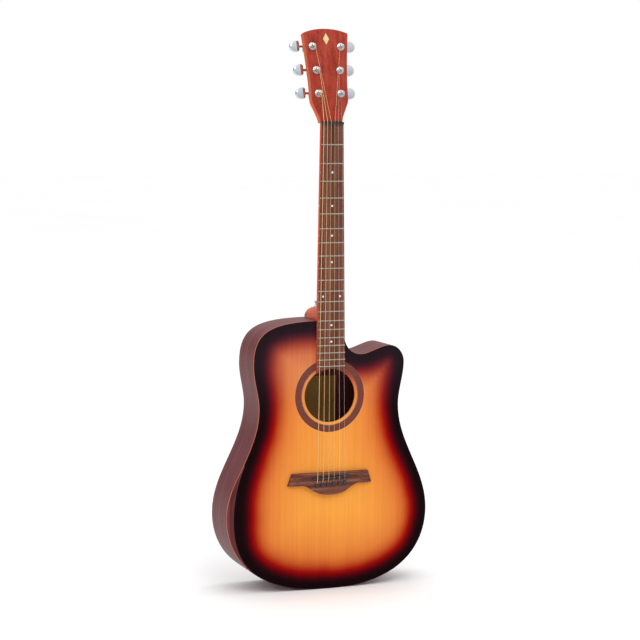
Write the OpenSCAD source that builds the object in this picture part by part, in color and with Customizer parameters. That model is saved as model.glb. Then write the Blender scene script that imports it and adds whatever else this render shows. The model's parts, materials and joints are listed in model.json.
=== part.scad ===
// Steel-string acoustic guitar with a rounded cutaway and an arm bevel.
// It stands upright: +Z runs up the neck, the soundboard faces -Y, and the
// bass side is at -X. The tail of the body touches Z = 0.
// Inside the modules Y is counted from the soundboard's face; seat() moves
// everything so that the origin is under the middle of the whole instrument.

/* [Body] */
// Length of the body
body_len = 505; // [400:5:620]
// Width across the lower bout
lower_w = 394; // [320:2:480]
// Width across the waist
waist_w = 276; // [220:2:340]
// Width across the upper bout
upper_w = 298; // [240:2:360]
// Depth of the body at the tail
depth_tail = 110; // [85:1:135]
// Depth of the body at the neck
depth_neck = 82; // [68:1:100]
// Thickness of the soundboard
top_t = 2.8; // [2.2:0.1:3.6]
// Thickness of the back plate
back_t = 2.8; // [2.2:0.1:4]
// Thickness of the bent sides
side_t = 2.2; // [1.6:0.1:3]
// Width of the strip let in between the sides at the tail
graft_w = 14; // [8:1:24]

/* [Cutaway and bevel] */
// Rise of the horn's tip above the widest line of the upper bout
horn_rise = 31; // [24:1:36]
// Depth of the scoop below the horn's tip
scoop_dip = 15; // [8:1:20]
// Width of the arm bevel on the soundboard
bevel_w = 10; // [6:0.5:14]
// Depth of the arm bevel down the side
bevel_d = 12; // [6:0.5:16]
// Width of the binding strip on the soundboard
bind_w = 1.6; // [1:0.1:2]
// Height of the binding strip on the side
bind_h = 3.6; // [3.6:0.1:6]

/* [Sound hole] */
// Diameter of the sound hole
hole_d = 100; // [80:1:106]
// Bare ring of soundboard between the hole and the rosette
rosette_gap = 5.3; // [3:0.1:9]
// Width of the rosette
rosette_w = 13.2; // [8:0.1:18]
// Thickness of the rosette
rosette_t = 1.2; // [0.8:0.1:1.6]

/* [Bracing] */
// Width of the braces
brace_w = 8; // [5:0.5:10]
// Height of the braces
brace_h = 12; // [8:0.5:15]
// Half angle between the legs of the X brace
brace_angle = 49; // [42:1:54]
// Width of the linings
lining_w = 5.5; // [4:0.5:8]
// Height of the linings
lining_h = 12; // [8:1:15]
// Width of the neck block
block_w = 76; // [60:1:90]
// Length of the neck block into the body
block_len = 58; // [50:1:66]
// Length of the tail block into the body
tail_len = 18; // [12:1:30]

/* [Neck] */
// Scale length from the nut to the saddle
scale_len = 650; // [540:2:780]
// Number of frets
fret_count = 20; // [19:1:21]
// Width of the neck at the nut
nut_w = 43; // [38:0.5:52]
// Width of the fretboard at its last fret
board_end_w = 55.6; // [50:0.2:62]
// Thickness of the fretboard at its middle
board_t = 6.3; // [5:0.1:8]
// Radius of the fretboard's playing surface
board_radius = 400; // [250:10:500]
// Depth of the neck behind the nut, without the fretboard
neck_nut_t = 14.8; // [13.5:0.1:18]
// Depth of the neck near the heel, without the fretboard
neck_heel_t = 17.5; // [15:0.1:22]
// Length of the heel cap
heel_len = 18; // [14:1:26]
// Width of the heel at its cap
heel_w = 42; // [34:1:48]
// Width of the tenon
tenon_w = 20; // [16:0.5:24]
// Length of the tenon into the neck block
tenon_len = 20; // [14:1:26]

/* [Headstock] */
// Angle between the headstock and the neck
head_tilt = 12; // [5:1:17]
// Length of the headstock from the nut to its crown
head_len = 174; // [160:1:190]
// Width across the top corners
head_w = 87; // [84:1:100]
// Thickness of the headstock's wood
head_t = 14; // [12:0.5:16]
// Thickness of the face veneer
veneer_t = 1.5; // [0.8:0.1:2.2]

/* [Strings and frets] */
// Thickness of the nut
nut_t = 5; // [4:0.5:6]
// Height of the fret crowns
fret_h = 1.1; // [0.8:0.05:1.4]
// Width of the fret crowns
fret_w = 2.2; // [1.6:0.1:2.8]
// Spacing of the strings at the nut
nut_spacing = 7.12; // [6.4:0.02:8]
// Spacing of the strings at the saddle
saddle_spacing = 10.9; // [10:0.1:11.6]
// Height of the saddle's crown above the soundboard
saddle_h = 11.6; // [11:0.1:13]

/* [Bridge] */
// Length of the bridge
bridge_len = 167; // [150:1:180]
// Thickness of the bridge
bridge_t = 8; // [7:0.5:9.5]
// Diameter of the bridge pins
pin_d = 5.2; // [4.6:0.1:6]

/* [Tuners] */
// Diameter of the string posts
post_d = 6; // [5:0.1:7]
// Height of the posts above the headstock's face
post_out = 11; // [9:0.5:14]
// Length of a button outwards
button_len = 17.5; // [14:0.5:24]
// Width of a button
button_w = 21; // [16:0.5:25]

/* [Hidden] */
$fn = 48;

// Clearances
run_fit = 0.05;   // radial gap of a turning shaft in its bore
slip = 0.1;       // gap beside a piece that is set in
brace_gap = 0.3;  // gap between a brace's end and what it stops at
far = 400;        // longer than any cut that has to go right through

// Stations of the body outline, up from the tail
lower_z = 0.28 * body_len;
waist_z = 0.68 * body_len;
upper_z = 0.84 * body_len;
horn_z = upper_z + horn_rise;
scoop_z = horn_z - scoop_dip;
lower_x = lower_w / 2;
waist_x = waist_w / 2;
upper_x = upper_w / 2;
horn_x = 0.8 * upper_x;
scoop_x = 0.42 * upper_x;

// Stations of the neck
body_fret = 14;
function fret_drop(n) = scale_len * (1 - pow(2, -n / 12));
nut_z = body_len + fret_drop(body_fret);
function fret_z(n) = nut_z - fret_drop(n);
last_z = fret_z(fret_count);
function board_half(z) =
    (nut_w + (board_end_w - nut_w) * (nut_z - z) / (nut_z - last_z)) / 2;
function crown_drop(x) = x * x / (2 * board_radius);
corner_x = board_half(body_len) - 1.2;

// Sound hole, which just bites into the end of the fretboard
hole_r = hole_d / 2;
hole_z = last_z - 5.3 - hole_r;
board_end_z = hole_z + 0.8 * hole_r;

// Bridge line: the saddle slants so that the bass strings are longer
compensation = 3;
slant = -2.9;
saddle_z = nut_z - scale_len - compensation;
saddle_len = 73;
saddle_t = 3;
saddle_slot = 4.5;
pin_back = 12.2;
pin_z = saddle_z - pin_back;
pin_spacing = 11.1;
bridge_top_z = saddle_z + 9;
bridge_low_z = bridge_top_z - 42.3;
slant_rate = tan(-slant);

// Strings, counted from the thickest at -X
gauges = [1.35, 1.07, 0.81, 0.61, 0.41, 0.30];
string_count = len(gauges);
function across(k, pitch) = (k - (string_count - 1) / 2) * pitch;

// The whole instrument is centred between its front and its back
saddle_radius = 380;
front_y = -max([for (k = [0 : string_count - 1])
    saddle_h + slip / 2 + gauges[k]
    - pow(across(k, saddle_spacing), 2) / (2 * saddle_radius)]);
middle_y = (front_y + depth_tail) / 2;
module seat() { translate([0, -middle_y, 0]) children(); }

// Depth of the body at a height
function depth_at(z) = depth_tail + (depth_neck - depth_tail) * z / body_len;
function floor_at(z) = depth_at(z) - back_t;

// Points along a Bezier curve, without its last point
function bezier(p, n) = [for (i = [0 : n - 1]) let (t = i / n, s = 1 - t)
    s * s * s * p[0] + 3 * s * s * t * p[1] + 3 * s * t * t * p[2] + t * t * t * p[3]];

// Outline of the body, clockwise from the tail up the bass side
long_n = 20;
short_n = 12;
corner_n = 5;
tail_x = graft_w / 2;
slot_x = tenon_w / 2 + slip;
low_grip = 0.52 * lower_z;
waist_grip = 0.37 * (waist_z - lower_z);
bout_grip = 0.35 * (upper_z - waist_z);
tail_grip = 0.7 * lower_x;
bass_rim = concat(
    bezier([[-tail_x, 0], [-tail_x - tail_grip, 0],
            [-lower_x, lower_z - low_grip], [-lower_x, lower_z]], long_n),
    bezier([[-lower_x, lower_z], [-lower_x, lower_z + waist_grip],
            [-waist_x, waist_z - waist_grip], [-waist_x, waist_z]], long_n),
    bezier([[-waist_x, waist_z], [-waist_x, waist_z + bout_grip],
            [-upper_x, upper_z - bout_grip], [-upper_x, upper_z]], short_n),
    bezier([[-upper_x, upper_z], [-upper_x, upper_z + 0.8 * (body_len - upper_z)],
            [-0.8 * upper_x, body_len], [-slot_x, body_len]], long_n),
    [[-slot_x, body_len]]);
treble_rim = concat(
    [[slot_x, body_len]],
    bezier([[slot_x + 1, body_len], [corner_x - 4, body_len],
            [corner_x, body_len - 8], [corner_x, body_len - 20]], corner_n),
    bezier([[corner_x, body_len - 20], [corner_x + 5, scoop_z + 6],
            [scoop_x - 14, scoop_z], [scoop_x, scoop_z]], short_n),
    bezier([[scoop_x, scoop_z], [scoop_x + 17, scoop_z],
            [horn_x - 17, horn_z], [horn_x, horn_z]], short_n),
    bezier([[horn_x, horn_z], [horn_x + 0.65 * (upper_x - horn_x), horn_z],
            [upper_x, upper_z + 0.41 * horn_rise], [upper_x, upper_z]], short_n),
    bezier([[upper_x, upper_z], [upper_x, upper_z - bout_grip],
            [waist_x, waist_z + bout_grip], [waist_x, waist_z]], short_n),
    bezier([[waist_x, waist_z], [waist_x, waist_z - waist_grip],
            [lower_x, lower_z + waist_grip], [lower_x, lower_z]], long_n),
    bezier([[lower_x, lower_z], [lower_x, lower_z - low_grip],
            [tail_x + tail_grip, 0], [tail_x, 0]], long_n),
    [[tail_x, 0]]);
rim = concat(bass_rim, treble_rim);
rim_n = len(rim);
bass_end = len(bass_rim) - 1;
// On the treble side the linings start beside the neck block
lining_from = bass_end + 2 + corner_n + short_n / 2;
function wrap(i) = (i + rim_n) % rim_n;
function outward(i) = let (d = rim[wrap(i + 1)] - rim[wrap(i - 1)])
    [-d[1], d[0]] / norm(d);
function inset(i, d) = rim[wrap(i)] - d * outward(wrap(i));

// Arm bevel: its share of full size at a point of the rim
bevel_from = long_n / 2;
bevel_to = 3 * long_n / 2;
function bevel_at(i) = i < bevel_from || i > bevel_to ? 0
    : pow(cos(180 * (i / long_n - 1) / 1.1), 2);
function edge_at(i) = bind_w + (bevel_w - bind_w) * bevel_at(i);
function drop_at(i) = bevel_d * bevel_at(i);
bevel_lip = 4;
bevel_foot = bind_h + 3;
function brace_stop(i) = brace_gap
    + max(side_t + lining_w, bevel_at(i) > 0 ? edge_at(i) + bevel_lip : 0);

// A plate in the XZ plane, its front face at y0
module plate(y0, t) {
    translate([0, y0 + t, 0]) rotate([90, 0, 0]) linear_extrude(t) children();
}

// A prism along X over a profile in the YZ plane
module prism(w, profile) {
    translate([-w / 2, 0, 0]) rotate([90, 0, 90]) linear_extrude(w) polygon(profile);
}

// A wedge on the floor of the body, rising into the box, over a span of heights
module floor_wedge(low, high, rise, sink = 0) {
    prism(2 * far, [[floor_at(low) - rise, low], [floor_at(low) + sink, low],
                    [floor_at(high) + sink, high], [floor_at(high) - rise, high]]);
}

// A round bar along Y
module rod_y(r, y0, y1) {
    translate([0, y1, 0]) rotate([90, 0, 0]) cylinder(r = r, h = y1 - y0);
}

// Whole outline, inset by a constant
module outline(d) { polygon([for (i = [0 : rim_n - 1]) inset(i, d)]); }

// Stretch of the rim between two insets
module band(from, to, near, deep) {
    polygon(concat([for (i = [from : to]) inset(i, near)],
                   [for (i = [to : -1 : from]) inset(i, deep)]));
}

// Closed skin through rings that all have the same number of points
module skin(rings, loop = false) {
    n = len(rings[0]);
    m = len(rings);
    last = loop ? m - 1 : m - 2;
    walls = [for (i = [0 : last]) for (j = [0 : n - 1])
        let (k = (j + 1) % n, a = i * n, b = ((i + 1) % m) * n)
        each [[a + j, a + k, b + k], [a + j, b + k, b + j]]];
    caps = loop ? [] : [[for (j = [n - 1 : -1 : 0]) j],
                        [for (j = [0 : n - 1]) (m - 1) * n + j]];
    polyhedron([for (r = rings) each r], concat(walls, caps));
}
function lift(p, y) = [p[0], y, p[1]];

// ---- Body ----

module soundboard() {
    color("#e8a24a") seat() difference() {
        plate(0, top_t) polygon([for (i = [0 : rim_n - 1]) inset(i, edge_at(i))]);
        translate([0, 0, hole_z]) rod_y(hole_r, -1, top_t + 1);
        rosette_ring();
        pin_holes();
    }
}

module rosette_ring() {
    inner = hole_r + rosette_gap;
    translate([0, 0, hole_z]) difference() {
        rod_y(inner + rosette_w, 0, rosette_t);
        rod_y(inner, -1, rosette_t + 1);
    }
}

module rosette() { color("#8a5a44") seat() rosette_ring(); }

module back_plate() {
    color("#6b4046") seat() intersection() {
        plate(0, far) outline(0);
        floor_wedge(-1, body_len + 1, 0, back_t);
    }
}

function side_ring(i) = let (a = rim[i], b = inset(i, side_t), front = drop_at(i) + bind_h)
    [lift(a, front), lift(a, floor_at(a[1])), lift(b, floor_at(b[1])), lift(b, front)];

module side_bass() {
    color("#6b4046") seat() skin([for (i = [0 : bass_end]) side_ring(i)]);
}

module side_treble() {
    color("#6b4046") seat() skin([for (i = [bass_end + 1 : rim_n - 1]) side_ring(i)]);
}

module end_graft() {
    color("#4a2a26") seat() skin([side_ring(rim_n - 1), side_ring(0)]);
}

module binding_front() {
    color("#c8643a") seat() skin([for (i = [0 : rim_n - 1])
        let (a = rim[i], b = inset(i, bind_w), y = drop_at(i))
        [lift(a, y), lift(a, y + bind_h), lift(b, y + bind_h), lift(b, y)]], loop = true);
}

module arm_bevel() {
    color("#6b4046") seat() skin([for (i = [bevel_from : bevel_to])
        let (w = edge_at(i), d = drop_at(i), deep = w + bevel_lip)
        [lift(inset(i, w), 0), lift(rim[i], d), lift(inset(i, bind_w), d),
         lift(inset(i, bind_w), d + bind_h), lift(inset(i, side_t), d + bind_h),
         lift(inset(i, side_t), d + bevel_foot), lift(inset(i, deep), d + bevel_foot),
         lift(inset(i, deep), top_t), lift(inset(i, w), top_t)]]);
}

module block_gaps() {
    translate([-block_w / 2 - slip, 0, body_len - block_len - slip])
        cube([block_w + 2 * slip, far, far]);
    translate([-tail_half - slip, 0, -1])
        cube([2 * (tail_half + slip), far, tail_len + 1 + slip]);
}

module linings() {
    deep = side_t + lining_w;
    color("#d9b98a") seat() {
        for (span = [[0, bevel_from - 1], [bevel_to + 1, bass_end], [lining_from, rim_n - 1]])
            difference() {
                plate(max(top_t, bind_h), lining_h) band(span[0], span[1], side_t, deep);
                block_gaps();
            }
        for (span = [[0, bass_end], [lining_from, rim_n - 1]]) difference() {
            intersection() {
                plate(0, far) band(span[0], span[1], side_t, deep);
                floor_wedge(-1, body_len + 1, lining_h);
            }
            block_gaps();
        }
    }
}

// The blocks fill the rim from the soundboard to the back
module block_space() {
    intersection() {
        plate(top_t, far) outline(side_t);
        floor_wedge(-1, body_len + 1, depth_tail);
    }
}

tail_half = 32;
module tail_block() {
    color("#b07a56") seat() intersection() {
        block_space();
        translate([-tail_half, 0, 0]) cube([2 * tail_half, far, tail_len]);
    }
}

rod_r = 2.5;
rod_y0 = top_t + 4.4;
socket_r = 4;
socket_len = 14;
socket_z = body_len - tenon_len - 4 - socket_len;
tenon_deep = depth_neck - 30;

module neck_block() {
    color("#b07a56") seat() difference() {
        intersection() {
            block_space();
            translate([-block_w / 2, 0, body_len - block_len]) cube([block_w, far, block_len]);
        }
        translate([-tenon_w / 2 - slip, 0, body_len - tenon_len - slip])
            cube([tenon_w + 2 * slip, bind_h + tenon_deep + 2 * slip, far]);
        translate([0, rod_y0, body_len - block_len - 1])
            cylinder(r = socket_r + run_fit, h = block_len);
    }
}

// Braces under the soundboard
leg_len = 190;
finger_x = 92;
finger_step = 32;
cross_z = (hole_z - hole_r + bridge_top_z) / 2 + 12;
bar_z = hole_z + hole_r + 16;
module brace(x, z, angle, low, high, tall = brace_h, w = brace_w) {
    translate([x, top_t, z]) rotate([0, angle, 0]) translate([-w / 2, 0, low])
        cube([w, tall, high - low]);
}

module top_braces() {
    color("#e2c08c") seat() difference() {
        intersection() {
            union() {
                brace(0, cross_z, brace_angle, -far, leg_len);
                brace(0, cross_z, -brace_angle, -far, leg_len);
                brace(-30, cross_z - 68, 62, -150, 18, brace_h - 3, brace_w - 2);
                brace(-14, cross_z - 116, 62, -120, 60, brace_h - 3, brace_w - 2);
                for (side = [-1, 1], drop = [0, finger_step])
                    brace(side * (finger_x + drop / 3), cross_z - 34 - drop, side * 70,
                          -10, far, brace_h - 5, brace_w - 3);
                brace(0, bar_z, 90, -far, far, brace_h + 1, brace_w + 4);
            }
            plate(0, far) polygon([for (i = [0 : rim_n - 1]) inset(i, brace_stop(i))]);
        }
        // The sound hole stays open, and the truss rod wrench passes the upper bar
        translate([0, 0, hole_z]) rod_y(hole_r + 8, -1, far);
        translate([0, rod_y0, bar_z - far / 2]) cylinder(r = socket_r + 1.5, h = far);
        // The lower braces stop clear of the bridge plate
        translate([-plate_w / 2 - 1, 0, plate_low])
            cube([plate_w + 2, far, plate_high - plate_low + 1]);
        translate([-block_w / 2 - slip, 0, body_len - block_len - brace_gap])
            cube([block_w + 2 * slip, far, far]);
    }
}

plate_t = 2.5;
plate_w = 118;
plate_high = pin_z + 20;
plate_low = pin_z - 18;
module bridge_plate() {
    color("#9a6a48") seat() difference() {
        translate([-plate_w / 2, top_t, plate_low]) cube([plate_w, plate_t, plate_high - plate_low]);
        pin_holes();
    }
}

// Braces across the back, narrower near the neck
back_bars = [0.14, 0.36, 0.58, 0.82];
module back_braces() {
    color("#e2c08c") seat() intersection() {
        for (share = back_bars)
            floor_wedge(share * body_len - brace_w / 2, share * body_len + brace_w / 2, brace_h);
        plate(0, far) outline(side_t + lining_w + brace_gap);
    }
}

// Plain paper with no lettering, glued inside under the sound hole
label_w = 92;
label_len = 88;
label_rise = 6;
label_t = 0.3;
module label() {
    start = back_bars[2] * body_len + brace_w / 2 + label_rise;
    end = min(start + label_len, back_bars[3] * body_len - brace_w / 2 - 2);
    color("#cdbb84") seat() intersection() {
        floor_wedge(start, end, label_t);
        translate([-label_w / 2, 0, 0]) cube([label_w, far, body_len]);
    }
}

// ---- Neck ----

// The neck is lofted upwards. Each section is as wide as the wider of two shapes:
// the D of the shaft, and the heel, whose nose is long near the fretboard and short at the cap.
section_n = 10;
cap_t = 3;
heel_top = 6;
heel_base = depth_at(body_len) - cap_t;
nose_reach = 60;
nose_fall = 16;
least_x = 0.15;
function neck_depth(z) =
    neck_nut_t + (neck_heel_t - neck_nut_t) * (nut_z - z) / (nut_z - body_len);
function heel_half(y) = board_half(body_len) + (heel_w / 2 - board_half(body_len)) * y / heel_base;
function heel_nose(y) = heel_len + nose_reach * exp(-(y - heel_top) / nose_fall);
function rounded(q, power) = q >= 1 ? 0 : pow(1 - pow(q, power), 1 / power);
function shaft_x(y, z) = board_half(z) * rounded(y / neck_depth(z), 2.3);
function heel_x(y, z) = heel_half(y) * rounded((z - body_len) / heel_nose(y), 2.2);
function section_deep(z) = let (past = z - body_len - heel_len)
    past <= heel_nose(heel_base) - heel_len ? heel_base
        : max(neck_depth(z), heel_top - nose_fall * ln(past / nose_reach));
function neck_section(z) = let (deep = section_deep(z),
    side = [for (j = [0 : section_n]) let (y = deep * sin(90 * j / section_n))
        [max(least_x, shaft_x(y, z), heel_x(y, z)), y]])
    concat([for (p = side) [-p[0], p[1], z]],
           [for (j = [section_n : -1 : 0]) [side[j][0], side[j][1], z]]);
heel_steps = [0, 0.5, 0.9, 1.02, 1.06, 1.12, 1.2, 1.35, 1.6, 2, 2.6, 3.4, 4.4];

module neck() {
    color("#c9655a") seat() difference() {
        union() {
            skin(concat([for (step = heel_steps) neck_section(body_len + step * heel_len)],
                        [neck_section(nut_z + nut_t)]));
            translate([-tenon_w / 2, bind_h + slip, body_len - tenon_len])
                cube([tenon_w, tenon_deep, tenon_len + 4]);
            head_frame() plate(0, head_t) head_outline();
        }
        // Channel for the truss rod, open under the fretboard
        translate([-channel_w / 2, -1, body_len - 1])
            cube([channel_w, channel_deep + 1, rod_end - body_len + 1]);
        translate([0, rod_y0, body_len - tenon_len - 1])
            cylinder(r = rod_r + slip, h = tenon_len + 10);
        head_frame() each_tuner() rod_y(sleeve_r + slip / 2, -1, head_t + 1);
        strap_place() translate([0, 0, -strap_screw_len]) cylinder(r = strap_screw_r, h = far);
    }
}

channel_w = 6.4;
channel_deep = rod_y0 + rod_r + 0.3;
rod_end = nut_z - 14;
bar_w = 6;
stem_r = rod_r - 0.5;
stem_grip = 4;
module truss_rod() {
    color("#9a9a9e") seat() {
        translate([-bar_w / 2, 0.4, body_len + 1])
            cube([bar_w, channel_deep - 0.6, rod_end - body_len - 3]);
        translate([0, rod_y0, socket_z + socket_len - stem_grip])
            cylinder(r = stem_r, h = body_len - socket_z - socket_len + stem_grip + 2);
    }
}

// The nut turns on the rod's end and has a hexagon socket for a wrench
hex_key_r = 2.9;
module truss_rod_nut() {
    color("#6e6e72") seat() translate([0, rod_y0, socket_z]) difference() {
        cylinder(r = socket_r, h = socket_len);
        translate([0, 0, -1]) cylinder(r = hex_key_r, h = socket_len / 2 + 1, $fn = 6);
        translate([0, 0, socket_len - stem_grip - 2])
            cylinder(r = stem_r + run_fit, h = stem_grip + 3);
    }
}

module heel_cap() {
    color("#4a2a26") seat() plate(heel_base, cap_t) polygon([for (j = [0 : 2 * section_n])
        let (a = 90 * j / section_n)
        [heel_w / 2 * cos(a), body_len + heel_nose(heel_base) * sin(a)]]);
}

// The crown of the fretboard and all that follows it
module crowned(extra = 0) {
    translate([0, board_radius - board_t - extra, 0])
        cylinder(r = board_radius, h = 3 * far, $fn = 180);
}

module fretboard() {
    color("#6e4236") seat() difference() {
        intersection() {
            plate(-board_t - 1, board_t + 1) polygon([
                [-board_half(board_end_z), board_end_z], [board_half(board_end_z), board_end_z],
                [nut_w / 2, nut_z], [-nut_w / 2, nut_z]]);
            crowned();
        }
        translate([0, 0, hole_z]) rod_y(hole_r + 0.4, -far, far);
        // Flat slots, as deep as the tang reaches at the board's edges
        for (n = [1 : fret_count])
            translate([-far / 2, -board_t - 1, fret_z(n) - tang_w / 2 - slip / 2])
                cube([far, 1 + tang_h + crown_drop(board_half(fret_z(n))) + slip, tang_w + slip]);
        marker_dots(slip / 4);
    }
}

tang_w = 0.5;
tang_h = 1.8;
crown_r = 0.62 * fret_w;
module frets() {
    color("#cfc6b8") seat() for (n = [1 : fret_count]) {
        z = fret_z(n);
        sweep = 2 * asin(board_half(z) / board_radius) - 0.02;
        translate([0, board_radius - board_t, z]) rotate([0, 0, -90 - sweep / 2])
            rotate_extrude(angle = sweep, $fn = 180) union() {
                translate([board_radius - tang_h, -tang_w / 2]) square([tang_h + 0.2, tang_w]);
                intersection() {
                    translate([board_radius + fret_h - crown_r, 0]) circle(r = crown_r, $fn = 32);
                    translate([board_radius, -fret_w / 2]) square([2 * fret_h, fret_w]);
                }
            }
    }
}

single_dots = [3, 5, 7, 9, 15, 17];
double_dot = 12;
dot_r = 2;
dot_t = 1.2;
double_dot_x = 16.5;
side_dot_r = 1;
side_dot_len = 1.5;
proud = 0.03;
function between(n) = (fret_z(n) + fret_z(n - 1)) / 2;
module marker_dots(grow) {
    for (n = single_dots) dot_at(0, between(n), grow);
    for (side = [-1, 1]) dot_at(side * double_dot_x, between(double_dot), grow);
    for (n = concat(single_dots, [double_dot]))
        translate([-board_half(between(n)), -board_t / 2 + 0.6, between(n)]) rotate([0, 90, 0])
            translate([0, 0, -proud - grow])
                cylinder(r = side_dot_r + grow, h = side_dot_len + 2 * grow);
}
module dot_at(x, z, grow) {
    translate([x, -board_t, z])
        rod_y(dot_r + grow, crown_drop(x) - proud - grow, dot_t + grow);
}
module fret_markers() { color("#dfe4ec") seat() marker_dots(0); }

nut_rise = 2.3;
string_gap = 0.45;
slot_gap = 0.02;
function nut_axis_y(k) = crown_drop(across(k, nut_spacing))
    - (board_t + fret_h + string_gap + gauges[k] / 2);
module nut() {
    color("#26303a") seat() difference() {
        intersection() {
            translate([-nut_w / 2, -board_t - nut_rise - 1, nut_z])
                cube([nut_w, board_t + nut_rise + 1, nut_t]);
            crowned(nut_rise);
        }
        for (k = [0 : string_count - 1]) let (r = gauges[k] / 2 + slot_gap)
            translate([across(k, nut_spacing), nut_axis_y(k), nut_z - 1]) {
                cylinder(r = r, h = nut_t + 2, $fn = 24);
                translate([-r, -nut_rise - 3, 0]) cube([2 * r, nut_rise + 3, nut_t + 2]);
            }
    }
}

// ---- Headstock and tuners ----

// Frame of the headstock: X across, Y into the wood, Z up the tilted face
module head_frame() { translate([0, 0, nut_z + nut_t]) rotate([-head_tilt, 0, 0]) children(); }
function head_point(x, y, s) = [x, y * cos(head_tilt) + s * sin(head_tilt),
    nut_z + nut_t - y * sin(head_tilt) + s * cos(head_tilt)];

neck_half = nut_w / 2;
head_half = head_w / 2;
flare_half = 35.5;
corner_s = head_len - 8;
head_side = concat(
    bezier([[neck_half, 0], [neck_half, 4], [neck_half + 0.5, 6], [neck_half + 2, 10]], 5),
    bezier([[neck_half + 2, 10], [flare_half - 3, 33], [flare_half, 35], [flare_half, 43]], 10),
    bezier([[flare_half, 43], [flare_half, 70], [head_half - 8, 90], [head_half, corner_s]], 10),
    bezier([[head_half, corner_s], [0.66 * head_half, head_len - 2],
            [0.33 * head_half, head_len], [0, head_len]], 8));
module head_outline() {
    polygon(concat(head_side, [[0, head_len]],
        [for (i = [len(head_side) - 1 : -1 : 0]) [-head_side[i][0], head_side[i][1]]]));
}

post_r = post_d / 2;
sleeve_r = post_r + 2;
post_places = [[22, 52.4], [23.1, 96], [27.8, 140.5]];
tuner_count = 6;
// Tuners 1 to 3 go up the bass side, 4 to 6 go down the treble side
function tuner_side(n) = n <= 3 ? -1 : 1;
function tuner_spot(n) = post_places[n <= 3 ? n - 1 : 6 - n];
module at_tuner(n) {
    spot = tuner_spot(n);
    translate([tuner_side(n) * spot[0], 0, spot[1]]) children();
}
module each_tuner() { for (n = [1 : tuner_count]) at_tuner(n) children(); }

gear_r = 3.5;
worm_r = 1.5;
worm_len = 11;
shaft_r = 1.3;
shaft_back = 7.5;
shaft_rise = gear_r + worm_r + 0.2;
gear_mid = head_t + 8;
gear_t = 3.6;
housing_deep = 13.4;
housing_wall = 1.6;
housing_out = 9.4;
washer_r = 7.1;
washer_t = 1;
hex_t = 2.2;

module headstock_veneer() {
    color("#a8402f") seat() head_frame() difference() {
        plate(-veneer_t, veneer_t) head_outline();
        each_tuner() rod_y(sleeve_r + slip / 2, -veneer_t - 1, 1);
        inlay_shape(slip / 2);
        // The veneer stops square against the nut
        translate([-far / 2, -veneer_t - 1, -1]) cube([far, veneer_t + 2, 1 + slip]);
    }
}

inlay_s = head_len - 19;
inlay_t = 0.8;
module inlay_shape(grow) {
    translate([0, 0, inlay_s]) plate(-veneer_t - grow, inlay_t + grow)
        polygon([[0, -11 - grow], [6 + grow, 0], [0, 11 + grow], [-6 - grow, 0]]);
}
module headstock_inlay() { color("#e8d8a8") seat() head_frame() inlay_shape(0); }

ear_low = -gear_r - housing_wall;
ear_x = 6.6;
ear_rise = 2.4;
screw_r = 1.1;
screw_head_r = 2.1;
screw_head_t = 1.2;
module tuner_housings() {
    color("#c9ccd0") seat() head_frame() for (n = [1 : tuner_count]) at_tuner(n) {
        high = shaft_rise + worm_r + housing_wall + 0.4;
        difference() {
            translate([-housing_out, head_t, ear_low])
                cube([2 * housing_out, housing_deep, high - ear_low]);
            // Room for the worm wheel, and the running bores of the post and the shaft
            rod_y(gear_r + 0.3, gear_mid - gear_t / 2 - 0.3, gear_mid + gear_t / 2 + 0.3);
            rod_y(post_r + run_fit, head_t - 1, gear_mid + gear_t);
            translate([0, gear_mid, shaft_rise]) rotate([0, 90, 0]) {
                cylinder(r = worm_r + 0.3, h = worm_len + 1, center = true);
                translate([0, 0, tuner_side(n) > 0 ? -shaft_back - 0.5 : shaft_back + 0.5 - far])
                    cylinder(r = shaft_r + run_fit, h = far);
            }
            // Screw hole in the ear below the wheel
            translate([tuner_side(n) * ear_x, 0, ear_low + ear_rise]) rod_y(screw_r, head_t - 1, far);
        }
    }
}

module tuner_screws() {
    back = head_t + housing_deep;
    color("#b8bcc2") seat() head_frame() for (n = [1 : tuner_count]) at_tuner(n)
        translate([tuner_side(n) * ear_x, 0, ear_low + ear_rise]) {
            rod_y(screw_r - 0.02, head_t, back);
            rod_y(screw_head_r, back, back + screw_head_t);
        }
}

module tuner_washers() {
    color("#d5d8dc") seat() head_frame() each_tuner() difference() {
        rod_y(washer_r, -veneer_t - washer_t, -veneer_t);
        rod_y(sleeve_r, -veneer_t - washer_t - 1, 1);
    }
}

module tuner_bushings() {
    color("#d5d8dc") seat() head_frame() each_tuner() difference() {
        union() {
            rod_y(sleeve_r, -veneer_t - washer_t - 0.5, head_t);
            translate([0, -veneer_t - washer_t, 0]) rotate([90, 0, 0])
                cylinder(r = sleeve_r + 1.3, h = hex_t, $fn = 6);
        }
        rod_y(post_r + run_fit, -far, far);
    }
}

hole_out = 7.4;
string_hole_r = 0.9;
module tuner_post(n) {
    color("#d5d8dc") seat() head_frame() at_tuner(n) {
        difference() {
            union() {
                rod_y(post_r, -veneer_t - post_out, gear_mid + gear_t / 2);
                rod_y(gear_r, gear_mid - gear_t / 2, gear_mid + gear_t / 2);
            }
            translate([0, -veneer_t - hole_out, 0]) rotate([0, 90, 0])
                cylinder(r = string_hole_r, h = 3 * post_r, center = true);
        }
    }
}

// The worm shaft runs outwards from the housing to its button
collar_r = 2.6;
collar_start = 12;
button_start = 18.2;
shaft_end = button_start + 9;
module tuner_shaft(n) {
    color("#b8bcc2") seat() head_frame() at_tuner(n)
        scale_side(n) translate([0, gear_mid, shaft_rise]) rotate([0, 90, 0]) {
            translate([0, 0, -shaft_back]) cylinder(r = shaft_r, h = shaft_end + shaft_back);
            cylinder(r = worm_r, h = worm_len, center = true);
            translate([0, 0, housing_out + 0.2])
                cylinder(r = collar_r, h = collar_start - housing_out - 0.2);
        }
}
module scale_side(n) { if (tuner_side(n) > 0) children(); else mirror([1, 0, 0]) children(); }

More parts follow.
